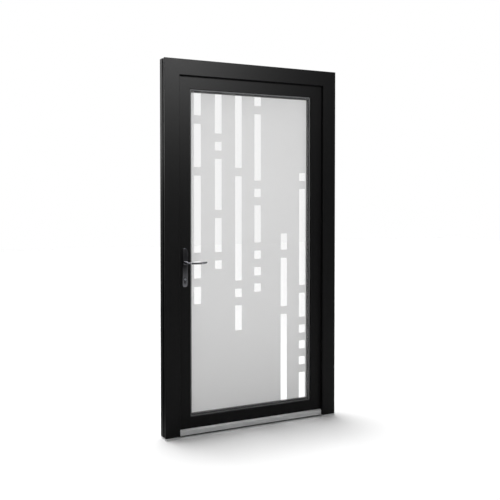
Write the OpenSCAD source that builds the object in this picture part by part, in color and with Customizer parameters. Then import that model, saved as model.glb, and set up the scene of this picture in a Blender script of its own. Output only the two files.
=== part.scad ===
// Glazed entrance door: thermally broken aluminium frame and inward-opening leaf
// with a frosted insulating glass unit, lever handle, mortise lock and drip bar.
// X runs along the wall (+X to the right seen from outside), +Y runs into the
// building, +Z is up. The origin is at the underside of the threshold, at
// mid-width and mid-depth of the frame. The leaf is shown closed.

/* [Overall] */
// Width over the frame jambs
door_w = 1100; // [900:10:1320]
// Height from the underside of the threshold to the top of the frame
door_h = 2100; // [1900:10:2520]

/* [Frame profile] */
// Depth of the frame, outside face to inside face
frame_d = 75; // [73:1:90]
// Width of the visible outside face of jambs and head
frame_face_w = 87; // [75:1:100]
// Depth of the outer aluminium shell
frame_shell_d = 17.6; // [16:0.2:20]
// Depth of the thermal break between the two shells
frame_break_d = 18; // [14:1:20]
// How far the outer lip stands in front of the rebate
lip_w = 19; // [15:1:24]
// Wall of the aluminium extrusions
wall_t = 2; // [1.6:0.1:2.4]
// Bevel along the visible edges of the profiles
edge_c = 1.2; // [0.6:0.1:1.6]
// Thickness of the plastic insulating bars
bar_t = 2.2; // [1.8:0.1:3]
// How far the insulating bars lie in from the profile's edge
bar_inset = 5; // [4:0.5:7]
// Open joint between mitred insulating bars
bar_joint = 0.2; // [0.1:0.1:0.5]

/* [Threshold] */
// Height of the threshold and of the end shoes under the jambs
shoe_h = 10; // [8:1:12]
// Thickness of the threshold's base plate
sill_t = 3.5; // [3:0.5:5]
// Depth of the insulating core in the threshold
sill_core_d = 30; // [20:1:34]

/* [Leaf profile] */
// How far the leaf's inside face stands proud of the frame's inside face
leaf_proud = 8; // [7:1:12]
// Distance of the leaf's outside face behind the frame's outside face
leaf_recess = 23; // [21:1:26]
// Width of the leaf profile, leaf edge to glass opening
leaf_prof_w = 84.5; // [80:0.5:100]
// Air gap between leaf edge and frame rebate
leaf_gap = 6; // [5:0.5:8]
// Gap between threshold and leaf
leaf_lift = 10; // [8:1:14]
// Depth of the leaf's outer shell
leaf_shell_d = 15; // [13:1:17]
// Depth of the leaf's thermal break
leaf_break_d = 16; // [12:1:18]
// How far the leaf's inner flange laps over the frame
flange_w = 14; // [10:1:16]
// Thickness of that flange
flange_t = 5.5; // [4:0.5:6]

/* [Glazing] */
// Thickness of each glass pane
pane_t = 4; // [4:1:6]
// Air space between the panes
pane_gap = 20; // [14:1:22]
// How far the glass runs behind the glazing lip
glass_cover = 12; // [10:1:14]
// Free space between glass edge and rebate floor
glass_edge_gap = 6.5; // [5:0.5:8]
// Depth of the glazing lip in front of the glass
glass_lip_d = 12; // [10:0.5:13]
// Thickness of the outer glazing gasket
gasket_out_t = 2; // [1.5:0.5:3]
// Thickness of the inner glazing gasket
gasket_in_t = 3; // [2:0.5:4]
// How far the gaskets show inside the glass opening
gasket_show = 7; // [3:0.5:8]
// Width of the spacer and edge seal, measured from the glass edge
spacer_w = 29.5; // [14:0.5:32]

/* [Seals] */
// Clearance of every soft seal to the surface it closes on
seal_gap = 0.3; // [0.2:0.1:0.5]
// Width of the frame's stop seal
stop_seal_w = 8; // [6:1:9]

/* [Handle] */
// Height of the lever axis above the underside of the threshold
handle_z = 976; // [900:1:1050]
// Distance of the lever axis from the leaf edge
backset = 50; // [45:1:50]
// Width of the handle backplates
plate_w = 32; // [28:1:36]
// Height of the handle backplates
plate_h = 220; // [210:5:240]
// Thickness of the handle backplates
plate_t = 8; // [6:0.5:10]
// Height of the lever axis above the backplate's middle
plate_offset = 28; // [20:1:32]
// Clear distance from leaf face to the middle of the grip
grip_off = 52; // [45:1:58]
// Length of the lever from its axis to its tip
grip_l = 113; // [100:1:130]
// Height of the grip section
grip_h = 10.5; // [9:0.5:14]
// Thickness of the grip section
grip_t = 14; // [11:0.5:18]
// Radius of the lever's neck
neck_r = 8.5; // [7:0.5:10]
// Side of the square spindle
spindle_a = 8; // [8:1:9]

/* [Lock] */
// Distance from lever axis down to the cylinder axis
cyl_drop = 92; // [85:1:92]
// Thickness of the latch and the dead bolt
bolt_t = 10; // [8:1:11]
// Height of the latch bolt
latch_h = 20; // [16:1:24]
// How far the latch bolt stands out
latch_throw = 12; // [10:1:13]
// Height of the dead bolt
dead_h = 28; // [24:1:32]
// Height of the dead bolt's middle above the cylinder axis
dead_rise = 28; // [26:1:30]
// Clearance all round the sliding bolts
bolt_gap = 0.3; // [0.2:0.1:0.5]
// Radial clearance of every turning part
run_gap = 0.05; // [0.03:0.01:0.08]

/* [Hinges] */
// Distance of the outer hinges' middles from the frame's ends
hinge_end = 240; // [180:10:300]
// Height of one hinge
hinge_h = 100; // [80:5:120]
// Radius of the hinge barrel
barrel_r = 9.5; // [8:0.5:11]
// Radius of the hinge pin
pin_r = 5; // [4:0.5:5.5]
// Thickness of the hinge plates
hinge_t = 6; // [5:0.5:8]
// Width of the hinge plates
hinge_w = 42; // [36:1:46]

/* [Drip bar] */
// How far the drip bar stands out from the leaf
drip_d = 13; // [10:1:18]
// Height of the drip bar
drip_h = 32; // [28:1:36]
// Clearance between drip bar and jambs
drip_gap = 3; // [2:0.5:5]
// Length of each end cap
drip_cap_l = 8; // [5:1:12]

/* [Fixings] */
// Radius of the wall fixing holes
fix_r = 4.25; // [3.5:0.25:5]
// Height of the lowest wall fixing hole
fix_low_z = 160; // [140:10:180]
// Distance of the highest wall fixing hole from the top
fix_top = 360; // [320:10:400]
// Radius of the countersunk screws' shanks
screw_r = 2; // [1.5:0.25:2.5]

/* [Hidden] */
$fn = 64;
far = 4000;
eps = 0.01;
// how far cuts run past what they cut
over = 1;
// frame depths
y_out = -frame_d / 2;
y_in = frame_d / 2;
y_break = y_out + frame_shell_d;
y_shell2 = y_break + frame_break_d;
// frame positions
half_w = door_w / 2;
rebate_w = frame_face_w - lip_w;
opening_x = half_w - frame_face_w;
opening_z = door_h - frame_face_w;
rebate_x = half_w - rebate_w;
// leaf positions
leaf_x = rebate_x - leaf_gap;
leaf_top = door_h - rebate_w - leaf_gap;
leaf_bot = shoe_h + leaf_lift;
leaf_h = leaf_top - leaf_bot;
y_leaf = y_out + leaf_recess;
y_leaf_in = y_in + leaf_proud;
y_lbreak = y_leaf + leaf_shell_d;
y_lshell2 = y_lbreak + leaf_break_d;
// glazing positions
glass_floor_w = leaf_prof_w - glass_cover - glass_edge_gap;
glass_w = leaf_prof_w - glass_cover;
y_pane1 = y_leaf + glass_lip_d + gasket_out_t;
y_gap1 = y_pane1 + pane_t;
y_pane2 = y_gap1 + pane_gap;
y_glass_in = y_pane2 + pane_t;
y_bead = y_glass_in + gasket_in_t;
// lock positions
lever_x = -leaf_x + backset;
cyl_z = handle_z - cyl_drop;
dead_z = cyl_z + dead_rise;
plate_z = handle_z - plate_offset;
lock_t = 15;
lock_fit = 0.5;
y_lock = y_lshell2 + wall_t + lock_fit + lock_t / 2;
face_t = 3;
face_w = 16;
face_h = 240;
face_screw_end = 8;
face_screw_l = 14;
face_head_t = 1.2;
lock_w = glass_floor_w - wall_t - face_t - lock_fit;
lock_below = 30;
lock_above = 40;
lock_bot = cyl_z - lock_below;
lock_top = handle_z + lock_above;
lock_wall = 1.2;
hub_r = 11;
hub_hole_r = 12;
hub_nose_r = 15;
dead_throw = 20;
dead_held = 10;
dead_l = dead_throw + face_t + dead_held;
latch_l = 38;
keep_t = 2.5;
keep_w = 20;
keep_h = 180;
keep_z = (handle_z + dead_z) / 2;
keep_end = 10;
keep_screw_zs = [keep_z - keep_h / 2 + keep_end, keep_z + keep_h / 2 - keep_end];
keep_gap = bolt_gap + 0.2;
cyl_r = 8.5;
cyl_tail_w = 10;
cyl_tail_h = 24.5;
core_r = 6.5;
cam_t = 9.6;
cam_w = 6;
cam_r = 11.8;
cam_gap = 0.3;
cyl_over = 2;
cyl_y0 = y_leaf - plate_t - cyl_over;
cyl_y1 = y_leaf_in + plate_t + cyl_over;
plate_screw_end = 9;
plate_screw_z = [plate_z - plate_h / 2 + plate_screw_end, plate_z + plate_h / 2 - plate_screw_end];
plate_screw_r = 2.5;
plate_head_t = 3;
plate_blind = 3;
spindle_in = 22;
spindle_y0 = y_leaf - plate_t - spindle_in;
spindle_y1 = y_leaf_in + plate_t + spindle_in;
hole_gap = 0.5;
// hinge positions
hinge_clear = 2;
hinge_lift = 1.5;
hinge_arm = 6;
hinge_x = leaf_x + flange_w + hinge_clear;
hinge_y = y_leaf_in + barrel_r + hinge_lift;
hinge_mid_h = hinge_h / 2;
hinge_zs = [hinge_end, door_h / 2, door_h - hinge_end];
knuckle_gap = 0.5;
knuckle_l = (hinge_h - hinge_mid_h) / 2 - knuckle_gap;
// wall fixing holes
fix_y = (y_shell2 + y_in) / 2;
fix_step = (door_h - fix_top - fix_low_z) / 3;
fix_zs = [for (i = [0:3]) fix_low_z + i * fix_step];
// drip bar
drip_drop = 8.5;
drip_nose = 4.5;
drip_slope = 6;
drip_flat = 4;
drip_x = opening_x - drip_gap;
drip_z = leaf_bot - drip_drop;
drip_y = y_leaf - drip_d;

black_coat = [0.1, 0.1, 0.11];
silver = [0.74, 0.75, 0.76];
steel = [0.62, 0.63, 0.65];
rubber = [0.05, 0.05, 0.05];
plastic = [0.16, 0.16, 0.17];
dark_metal = [0.17, 0.17, 0.18];

// ---------- placing of profiles ----------
// A section is drawn with x = distance inwards from the member's outer edge and
// y = depth. Each module below runs it along one side of a rectangle.

module run_left(edge) {
    translate([-edge, 0, 0]) linear_extrude(far) children();
}

module run_right(edge) {
    mirror([1, 0, 0]) run_left(edge) children();
}

module run_top(edge) {
    translate([-far / 2, 0, edge]) rotate([0, 90, 0]) linear_extrude(far) children();
}

module run_bottom(edge) {
    translate([far / 2, 0, edge]) rotate([0, -90, 0]) linear_extrude(far) children();
}

// Turns an outline in X and Z into a slab that covers the whole depth
module through_depth() {
    translate([0, far / 2, 0]) rotate([90, 0, 0]) linear_extrude(far) children();
}

// Mitred region of an upright: half-width a, bottom b, top t, reach in m, reach out e
module upright_region(a, b, t, m, e, mitre_bottom) {
    through_depth()
        polygon([
            [-a - e, b], [-a, b],
            [-a + m, mitre_bottom ? b + m : b],
            [-a + m, t - m], [-a - e, t + e]
        ]);
}

// The same for a top member; "apart" opens the mitre joints by that much in height
module top_region(a, t, m, e, apart) {
    translate([0, 0, apart]) through_depth()
        polygon([[-a - e, t + e], [-a + m, t - m], [a - m, t - m], [a + e, t + e]]);
}

module bottom_region(a, b, m, apart) {
    translate([0, 0, -apart]) through_depth()
        polygon([[-a, b], [a, b], [a - m, b + m], [-a + m, b + m]]);
}

// ---------- frame ----------

module frame_outer_section() {
    difference() {
        polygon([
            [edge_c, y_out], [frame_face_w - edge_c, y_out], [frame_face_w, y_out + edge_c],
            [frame_face_w, y_break], [0, y_break], [0, y_out + edge_c]
        ]);
        translate([wall_t, y_out + wall_t])
            square([frame_face_w - 2 * wall_t, frame_shell_d - 2 * wall_t]);
    }
}

module frame_inner_section() {
    depth = y_in - y_shell2;
    difference() {
        translate([0, y_shell2]) square([rebate_w, depth]);
        translate([wall_t, y_shell2 + wall_t])
            square([rebate_w - 2 * wall_t, depth - 2 * wall_t]);
    }
}

module frame_bars_section() {
    for (w = [bar_inset, rebate_w - bar_inset - bar_t])
        translate([w, y_break]) square([bar_t, frame_break_d]);
}

// Mitred jamb on the lock side made from a section
module jamb() {
    intersection() {
        run_left(half_w) children();
        upright_region(half_w, shoe_h, door_h, frame_face_w + over, 0, false);
    }
}

module head(apart = 0) {
    intersection() {
        run_top(door_h) children();
        top_region(half_w, door_h, frame_face_w + over, 0, apart);
    }
}

// Wall fixing holes through both walls of a jamb's inner shell, on the lock side
module wall_fixings() {
    for (z = fix_zs)
        translate([-half_w - over, fix_y, z])
            rotate([0, 90, 0]) cylinder(r = fix_r, h = rebate_w + 2 * over);
}

module jamb_lock_outer() {
    color(black_coat) jamb() frame_outer_section();
}

module jamb_lock_inner() {
    color(black_coat) difference() {
        jamb() frame_inner_section();
        wall_fixings();
        keep_windows(wall_t + over);
        keep_screw_holes();
    }
}

module jamb_hinge_outer() {
    color(black_coat) mirror([1, 0, 0]) jamb() frame_outer_section();
}

module jamb_hinge_inner() {
    color(black_coat) mirror([1, 0, 0]) difference() {
        jamb() frame_inner_section();
        wall_fixings();
    }
}

module head_outer() {
    color(black_coat) head() frame_outer_section();
}

module head_inner() {
    color(black_coat) head() frame_inner_section();
}

module frame_insulating_bars() {
    color(rubber) {
        jamb() frame_bars_section();
        mirror([1, 0, 0]) jamb() frame_bars_section();
        head(bar_joint) frame_bars_section();
    }
}

// L-shaped cleat that fills the chamber of two mitred profiles at the top left
// corner of a rectangle: chamber from c0 to c1 inwards, from y0 to y1 in depth
module cleat(a, t, c0, c1, y0, y1) {
    arm = 70;
    fit = 0.2;
    lo = c0 + fit;
    hi = c1 - fit;
    translate([0, y1 - fit, 0]) rotate([90, 0, 0]) linear_extrude(y1 - y0 - 2 * fit)
        polygon([
            [-a + lo, t - lo], [-a + hi + arm, t - lo], [-a + hi + arm, t - hi],
            [-a + hi, t - hi], [-a + hi, t - hi - arm], [-a + lo, t - hi - arm]
        ]);
}

module frame_corner_cleats() {
    color(silver) for (side = [0, 1])
        mirror([side, 0, 0])
            cleat(half_w, door_h, wall_t, rebate_w - wall_t, y_shell2 + wall_t, y_in - wall_t);
}

// Base plate with a low outer lip and a raised inner tread
module threshold_plate() {
    tread_y = y_leaf + sill_core_d;
    color(silver) translate([opening_x, 0, 0]) rotate([0, -90, 0])
        linear_extrude(2 * opening_x)
            polygon([
                [0, y_out], [0, y_in], [shoe_h, y_in], [shoe_h, tread_y], [sill_t, tread_y],
                [sill_t, y_out + edge_c], [sill_t - edge_c, y_out]
            ]);
}

module threshold_core() {
    color(plastic) translate([-opening_x, y_leaf, sill_t])
        cube([2 * opening_x, sill_core_d, shoe_h - sill_t]);
}

module end_shoe() {
    translate([-half_w, y_out, 0]) cube([frame_face_w, frame_d, shoe_h]);
}

module end_shoe_lock() {
    color(silver) end_shoe();
}

module end_shoe_hinge() {
    color(silver) mirror([1, 0, 0]) end_shoe();
}

// Bulb seal on the back of the frame's outer lip
module stop_seal_section() {
    base_t = 1.6;
    from_edge = 1;
    bulb = y_leaf - seal_gap - y_break;
    mid = rebate_w + leaf_gap + from_edge + stop_seal_w / 2;
    translate([mid - stop_seal_w / 2, y_break]) square([stop_seal_w, base_t]);
    translate([mid, y_break + bulb / 2]) circle(d = bulb);
}

module stop_seal() {
    color(rubber) {
        jamb() stop_seal_section();
        mirror([1, 0, 0]) jamb() stop_seal_section();
        head() stop_seal_section();
    }
}

// ---------- keep in the lock jamb ----------

// Openings for both bolts, cut "deep" into the rebate wall
module keep_windows(deep) {
    g = keep_gap;
    for (b = [[handle_z, latch_h], [dead_z, dead_h]])
        translate([-rebate_x - deep, y_lock - bolt_t / 2 - g, b[0] - b[1] / 2 - g])
            cube([deep + keep_t + over, bolt_t + 2 * g, b[1] + 2 * g]);
}

module keep_screw_holes() {
    for (z = keep_screw_zs)
        translate([-rebate_x - wall_t - over, y_lock, z])
            rotate([0, 90, 0]) cylinder(r = screw_r, h = keep_t + wall_t + 2 * over);
}

module lock_keep() {
    color(steel) difference() {
        translate([-rebate_x, y_lock - keep_w / 2, keep_z - keep_h / 2])
            cube([keep_t, keep_w, keep_h]);
        keep_windows(over);
        keep_screw_holes();
    }
}

// Flat head on the plate, and a shank through plate and profile wall
module keep_screws() {
    shank = 8;
    head_t = 0.8;
    color(steel) for (z = keep_screw_zs)
        translate([-rebate_x - shank, y_lock, z]) rotate([0, 90, 0]) {
            cylinder(r = screw_r, h = shank + keep_t);
            translate([0, 0, shank + keep_t]) cylinder(r = 2 * screw_r, h = head_t);
        }
}

// ---------- leaf shells ----------

module leaf_outer_section() {
    lip_back = y_leaf + glass_lip_d;
    difference() {
        polygon([
            [edge_c, y_leaf], [leaf_prof_w - edge_c, y_leaf], [leaf_prof_w, y_leaf + edge_c],
            [leaf_prof_w, lip_back], [glass_floor_w, lip_back], [glass_floor_w, y_lbreak],
            [0, y_lbreak], [0, y_leaf + edge_c]
        ]);
        translate([wall_t, y_leaf + wall_t])
            square([glass_floor_w - 2 * wall_t, leaf_shell_d - 2 * wall_t]);
        translate([glass_floor_w, y_leaf + wall_t])
            square([leaf_prof_w - wall_t - glass_floor_w, glass_lip_d - 2 * wall_t]);
    }
}

// Inner shell; with a flange it laps over the frame
module leaf_inner_section(flange) {
    difference() {
        union() {
            translate([0, y_lshell2]) square([glass_floor_w, y_leaf_in - y_lshell2]);
            if (flange > 0)
                translate([-flange, y_leaf_in - flange_t])
                    polygon([
                        [0, 0], [flange + over, 0], [flange + over, flange_t],
                        [edge_c, flange_t], [0, flange_t - edge_c]
                    ]);
        }
        translate([wall_t, y_lshell2 + wall_t])
            square([glass_floor_w - 2 * wall_t, y_leaf_in - y_lshell2 - 2 * wall_t]);
    }
}

module leaf_bars_section() {
    inner_inset = 1;
    for (w = [bar_inset, glass_floor_w - bar_t - inner_inset])
        translate([w, y_lbreak]) square([bar_t, leaf_break_d]);
}

module stile() {
    intersection() {
        run_left(leaf_x) children();
        upright_region(leaf_x, leaf_bot, leaf_top, leaf_prof_w + over, flange_w + over, true);
    }
}

module rail_top(apart = 0) {
    intersection() {
        run_top(leaf_top) children();
        top_region(leaf_x, leaf_top, leaf_prof_w + over, flange_w + over, apart);
    }
}

module rail_bottom(apart = 0) {
    intersection() {
        run_bottom(leaf_bot) children();
        bottom_region(leaf_x, leaf_bot, leaf_prof_w + over, apart);
    }
}

// Profile-cylinder outline about the cylinder axis, in X and Z, grown by g
module cylinder_outline(g) {
    circle(r = cyl_r + g);
    translate([-cyl_tail_w / 2 - g, -cyl_tail_h + cyl_tail_w / 2])
        square([cyl_tail_w + 2 * g, cyl_tail_h - cyl_tail_w / 2]);
    translate([0, -cyl_tail_h + cyl_tail_w / 2]) circle(r = cyl_tail_w / 2 + g);
}

// Holes through the leaf for spindle, cylinder and backplate screws
module handle_holes() {
    translate([lever_x, far / 2, handle_z])
        rotate([90, 0, 0]) cylinder(r = hub_hole_r, h = far);
    translate([lever_x, 0, cyl_z]) through_depth() cylinder_outline(hole_gap);
    for (z = plate_screw_z)
        translate([lever_x, far / 2, z])
            rotate([90, 0, 0]) cylinder(r = plate_screw_r + run_gap, h = far);
}

// Slot in the leaf edge for the lock's faceplate
module faceplate_slot() {
    translate([-leaf_x - over, y_lock - face_w / 2, keep_z - face_h / 2])
        cube([face_t + over, face_w, face_h]);
}

module stile_lock_outer() {
    color(black_coat) difference() {
        stile() leaf_outer_section();
        handle_holes();
    }
}

module stile_lock_inner() {
    color(black_coat) difference() {
        stile() leaf_inner_section(flange_w);
        handle_holes();
        faceplate_slot();
    }
}

module stile_hinge_outer() {
    color(black_coat) mirror([1, 0, 0]) stile() leaf_outer_section();
}

module stile_hinge_inner() {
    color(black_coat) mirror([1, 0, 0]) stile() leaf_inner_section(flange_w);
}

module rail_top_outer() {
    color(black_coat) rail_top() leaf_outer_section();
}

module rail_top_inner() {
    color(black_coat) rail_top() leaf_inner_section(flange_w);
}

module rail_bottom_outer() {
    color(black_coat) rail_bottom() leaf_outer_section();
}

module rail_bottom_inner() {
    color(black_coat) rail_bottom() leaf_inner_section(0);
}

module leaf_insulating_bars() {
    color(rubber) {
        difference() {
            stile() leaf_bars_section();
            handle_holes();
        }
        mirror([1, 0, 0]) stile() leaf_bars_section();
        rail_top(bar_joint) leaf_bars_section();
        rail_bottom(bar_joint) leaf_bars_section();
    }
}

module leaf_corner_cleats() {
    c1 = glass_floor_w - wall_t;
    y0 = y_lshell2 + wall_t;
    y1 = y_leaf_in - wall_t;
    color(silver) for (side = [0, 1])
        mirror([side, 0, 0]) {
            cleat(leaf_x, leaf_top, wall_t, c1, y0, y1);
            translate([0, 0, leaf_top + leaf_bot])
                mirror([0, 0, 1]) cleat(leaf_x, leaf_top, wall_t, c1, y0, y1);
        }
}

// Lip seal behind the leaf's flange
module flange_seal() {
    height = y_leaf_in - flange_t - y_in - seal_gap;
    color(rubber) {
        stile() flange_seal_section(height);
        mirror([1, 0, 0]) stile() flange_seal_section(height);
        rail_top() flange_seal_section(height);
    }
}

module flange_seal_section(height) {
    foot_w = 6;
    tip_w = 2;
    from_edge = 2;
    translate([-flange_w + from_edge, y_in + seal_gap])
        polygon([
            [(foot_w - tip_w) / 2, 0], [(foot_w + tip_w) / 2, 0], [foot_w, height], [0, height]
        ]);
}

// Two-lipped seal under the leaf
module bottom_seal() {
    lip = leaf_lift - seal_gap;
    inset = 4;
    width = 12;
    base_t = 2;
    root = 3.5;
    tip = 2;
    lean = 1;
    color(rubber) translate([leaf_x - inset, 0, leaf_bot]) rotate([0, -90, 0])
        linear_extrude(2 * (leaf_x - inset))
            translate([0, y_leaf + inset])
                polygon([
                    [0, 0], [0, width], [-lip, width - lean], [-lip, width - lean - tip],
                    [-base_t, width - root], [-base_t, root], [-lip, lean + tip], [-lip, lean]
                ]);
}

// ---------- glazing ----------

module ring(a, b, t, width, y0, y1) {
    translate([0, y1, 0]) rotate([90, 0, 0]) linear_extrude(y1 - y0)
        difference() {
            translate([-a, b]) square([2 * a, t - b]);
            translate([-a + width, b + width])
                square([2 * (a - width), t - b - 2 * width]);
        }
}

module pane(y0) {
    half = leaf_x - glass_w;
    translate([-half, y0, leaf_bot + glass_w])
        cube([2 * half, pane_t, leaf_h - 2 * glass_w]);
}

module outer_pane() {
    color([0.8, 0.85, 0.85, 0.35]) pane(y_pane1);
}

module frosted_pane() {
    color([0.85, 0.87, 0.87]) pane(y_pane2);
}

module glass_spacer() {
    color(steel)
        ring(leaf_x - glass_w, leaf_bot + glass_w, leaf_top - glass_w, spacer_w, y_gap1, y_pane2);
}

module gasket(y0, y1) {
    set_in = 4;
    from = glass_w + set_in;
    ring(leaf_x - from, leaf_bot + from, leaf_top - from, glass_cover - set_in + gasket_show, y0, y1);
}

module outer_gasket() {
    color(rubber) gasket(y_leaf + glass_lip_d, y_pane1);
}

module inner_gasket() {
    color(rubber) gasket(y_glass_in, y_bead);
}

// Snap-in bead that holds the glass from inside
module bead_section() {
    w = leaf_prof_w - glass_floor_w;
    d = y_leaf_in - y_bead;
    bead_wall = 1.5;
    translate([glass_floor_w, y_bead]) difference() {
        polygon([[0, 0], [w, 0], [w, d - edge_c], [w - edge_c, d], [0, d]]);
        translate([bead_wall, bead_wall]) square([w - 2 * bead_wall, d - 2 * bead_wall]);
    }
}

module bead_lock() {
    color(black_coat) stile() bead_section();
}

module bead_hinge() {
    color(black_coat) mirror([1, 0, 0]) stile() bead_section();
}

module bead_top() {
    color(black_coat) rail_top() bead_section();
}

module bead_bottom() {
    color(black_coat) rail_bottom() bead_section();
}

// Plastic blocks that carry the glass on the bottom rail
module setting_blocks() {
    block_l = 100;
    block_x = 0.6 * leaf_x;
    color(plastic) for (x = [-block_x, block_x])
        translate([x - block_l / 2, y_pane1, leaf_bot + glass_floor_w])
            cube([block_l, y_glass_in - y_pane1, glass_edge_gap]);
}

// ---------- lock ----------

module bolt_window(z, h, x0, x1) {
    g = bolt_gap;
    translate([x0, y_lock - bolt_t / 2 - g, z - h / 2 - g])
        cube([x1 - x0, bolt_t + 2 * g, h + 2 * g]);
}

module lock_case() {
    x0 = -leaf_x + face_t;
    color(steel) difference() {
        translate([x0, y_lock - lock_t / 2, lock_bot])
            cube([lock_w, lock_t, lock_top - lock_bot]);
        translate([x0 + lock_wall, y_lock - lock_t / 2 + lock_wall, lock_bot + lock_wall])
            cube([lock_w - 2 * lock_wall, lock_t - 2 * lock_wall, lock_top - lock_bot - 2 * lock_wall]);
        bolt_window(handle_z, latch_h, x0 - over, x0 + lock_wall + over);
        bolt_window(dead_z, dead_h, x0 - over, x0 + lock_wall + over);
        translate([lever_x, far / 2, handle_z])
            rotate([90, 0, 0]) cylinder(r = hub_r + run_gap, h = far);
        translate([lever_x, 0, cyl_z]) through_depth() cylinder_outline(hole_gap);
        for (z = plate_screw_z)
            translate([lever_x, far / 2, z])
                rotate([90, 0, 0]) cylinder(r = plate_screw_r + 2 * hole_gap, h = far);
    }
}

module faceplate_screw_zs() {
    for (z = [keep_z - face_h / 2 + face_screw_end, keep_z + face_h / 2 - face_screw_end])
        translate([-leaf_x, y_lock, z]) rotate([0, 90, 0]) children();
}

module lock_faceplate() {
    color(steel) difference() {
        translate([-leaf_x, y_lock - face_w / 2, keep_z - face_h / 2])
            cube([face_t, face_w, face_h]);
        bolt_window(handle_z, latch_h, -leaf_x - over, -leaf_x + face_t + over);
        bolt_window(dead_z, dead_h, -leaf_x - over, -leaf_x + face_t + over);
        faceplate_screw_zs() translate([0, 0, -over]) cylinder(r = screw_r, h = face_t + 2 * over);
        faceplate_screw_zs() translate([0, 0, -eps]) cylinder(r = 2 * screw_r, h = face_head_t);
    }
}

module faceplate_screws() {
    color(steel) faceplate_screw_zs() {
        cylinder(r = screw_r, h = face_screw_l);
        cylinder(r = 2 * screw_r, h = face_head_t - eps);
    }
}

module cylinder_body() {
    half_gap = cam_t / 2 + cam_gap;
    color(dark_metal) difference() {
        translate([lever_x, cyl_y1, cyl_z]) rotate([90, 0, 0])
            linear_extrude(cyl_y1 - cyl_y0) cylinder_outline(0);
        translate([lever_x, far / 2, cyl_z])
            rotate([90, 0, 0]) cylinder(r = core_r + run_gap, h = far);
        translate([lever_x, y_lock + half_gap, cyl_z])
            rotate([90, 0, 0]) cylinder(r = cam_r + cam_gap, h = 2 * half_gap);
    }
}

// Turning core with a key slot at each end and the cam in the middle
module cylinder_core() {
    key_l = 22;
    key_w = 2;
    key_h = 9;
    sunk = 0.5;
    cam_l = cam_r - sunk;
    color(steel) difference() {
        union() {
            translate([lever_x, cyl_y1 - sunk, cyl_z])
                rotate([90, 0, 0]) cylinder(r = core_r, h = cyl_y1 - cyl_y0 - 2 * sunk);
            translate([lever_x, y_lock + cam_t / 2, cyl_z])
                rotate([90, 0, 0]) cylinder(r = cyl_r, h = cam_t);
            translate([lever_x - cam_w / 2, y_lock - cam_t / 2, cyl_z - cam_l])
                cube([cam_w, cam_t, cam_l]);
        }
        for (y = [cyl_y0, cyl_y1 - key_l])
            translate([lever_x - key_w / 2, y, cyl_z - key_h / 2]) cube([key_w, key_l, key_h]);
    }
}

// Latch with the slope on the side that meets the keep when the door closes
module latch_bolt() {
    tip = -leaf_x - latch_throw;
    head_back = 2;
    head_l = latch_throw + face_t + lock_wall + head_back;
    blunt = 2.5;
    slope_l = latch_throw - 1;
    tail_t = 6;
    tail_h = 12;
    color(steel) {
        translate([0, y_lock, handle_z - latch_h / 2]) linear_extrude(latch_h)
            polygon([
                [tip, bolt_t / 2], [tip + head_l, bolt_t / 2], [tip + head_l, -bolt_t / 2],
                [tip + slope_l, -bolt_t / 2], [tip, bolt_t / 2 - blunt]
            ]);
        translate([tip + head_l - eps, y_lock - tail_t / 2, handle_z - tail_h / 2])
            cube([latch_l - head_l + eps, tail_t, tail_h]);
    }
}

module dead_bolt() {
    color(steel) translate([-leaf_x, y_lock - bolt_t / 2, dead_z - dead_h / 2])
        cube([dead_l, bolt_t, dead_h]);
}

// Square-holed hub with the nose that draws the latch back
module lock_follower() {
    nose_t = 5;
    inside = lock_t - 2 * (lock_wall + bolt_gap);
    color(steel) difference() {
        union() {
            translate([lever_x, y_lock + lock_t / 2, handle_z])
                rotate([90, 0, 0]) cylinder(r = hub_r, h = lock_t);
            translate([lever_x - nose_t / 2, y_lock - inside / 2, handle_z])
                cube([nose_t, inside, hub_nose_r]);
        }
        square_bar(spindle_a + 2 * run_gap, y_lock - lock_t, y_lock + lock_t);
    }
}

// ---------- handle ----------

module square_bar(a, y0, y1) {
    translate([lever_x - a / 2, y0, handle_z - a / 2]) cube([a, y1 - y0, a]);
}

module spindle() {
    color(steel) square_bar(spindle_a, spindle_y0, spindle_y1);
}

// Backplate with round ends, from y0 to y1; the neck turns in its round hole
module backplate(y0, y1) {
    r = plate_w / 2;
    difference() {
        translate([lever_x, y1, 0]) rotate([90, 0, 0]) linear_extrude(y1 - y0)
            difference() {
                union() {
                    translate([-r, plate_z - plate_h / 2 + r])
                        square([plate_w, plate_h - plate_w]);
                    for (z = [plate_z - plate_h / 2 + r, plate_z + plate_h / 2 - r])
                        translate([0, z]) circle(r = r);
                }
                translate([0, cyl_z]) cylinder_outline(hole_gap);
            }
        translate([lever_x, y1 + over, handle_z])
            rotate([90, 0, 0]) cylinder(r = neck_r + run_gap, h = y1 - y0 + 2 * over);
    }
}

module outer_backplate() {
    color(dark_metal) difference() {
        backplate(y_leaf - plate_t, y_leaf);
        for (z = plate_screw_z)
            translate([lever_x, y_leaf + over, z])
                rotate([90, 0, 0]) cylinder(r = plate_screw_r, h = plate_t - plate_blind + over);
    }
}

module inner_backplate() {
    color(dark_metal) difference() {
        backplate(y_leaf_in, y_leaf_in + plate_t);
        for (z = plate_screw_z)
            translate([lever_x, y_leaf_in + plate_t + over, z]) rotate([90, 0, 0]) {
                cylinder(r = plate_screw_r + run_gap, h = plate_t + 2 * over);
                cylinder(r = 2 * plate_screw_r + run_gap, h = over + plate_head_t);
            }
    }
}

// Long screws from the inner backplate into the outer one
module backplate_screws() {
    tip = y_leaf - plate_t + plate_blind;
    color(steel) for (z = plate_screw_z)
        translate([lever_x, y_leaf_in + plate_t, z]) rotate([90, 0, 0]) {
            cylinder(r = plate_screw_r, h = y_leaf_in + plate_t - tip);
            cylinder(r = 2 * plate_screw_r, h = plate_head_t);
        }
}

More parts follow.
